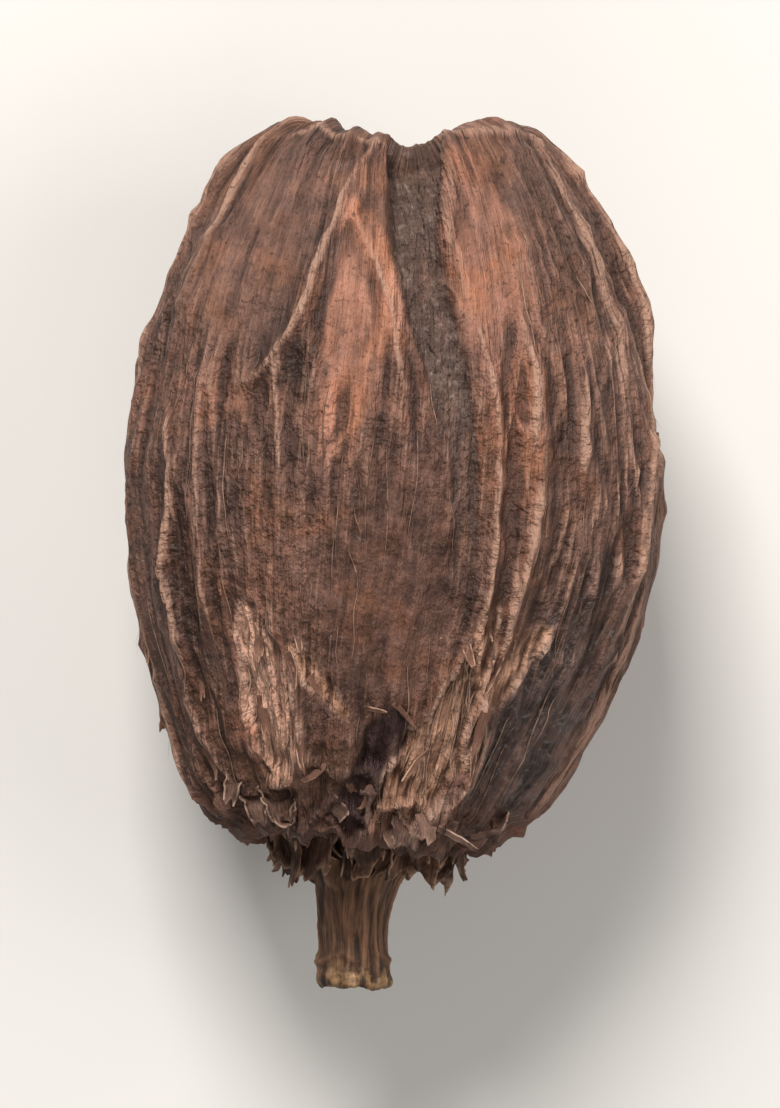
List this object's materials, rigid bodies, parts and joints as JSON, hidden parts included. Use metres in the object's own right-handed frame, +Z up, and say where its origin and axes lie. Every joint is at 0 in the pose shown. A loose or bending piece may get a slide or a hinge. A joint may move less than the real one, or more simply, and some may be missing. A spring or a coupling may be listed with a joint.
{
  "type": "black cardamom pod",
  "caption": "Dried black cardamom pod: a ribbed, wrinkled oval husk with a notched calyx end and a short cut stalk in a torn skirt of husk.",
  "frame": {"origin": "middle of the pod's bounding box seen from above, at the level it rests on", "axes": "+Y along the pod towards its calyx end, the cut stalk at -Y, +Z up from the flat spot that it rests on"},
  "size_m": [0.0204, 0.0332, 0.0164],
  "materials": {
    "husk": "matte, fibrous dried husk"
  },
  "bodies": {
    "root": {"pod": "husk"}
  },
  "joints": []
}
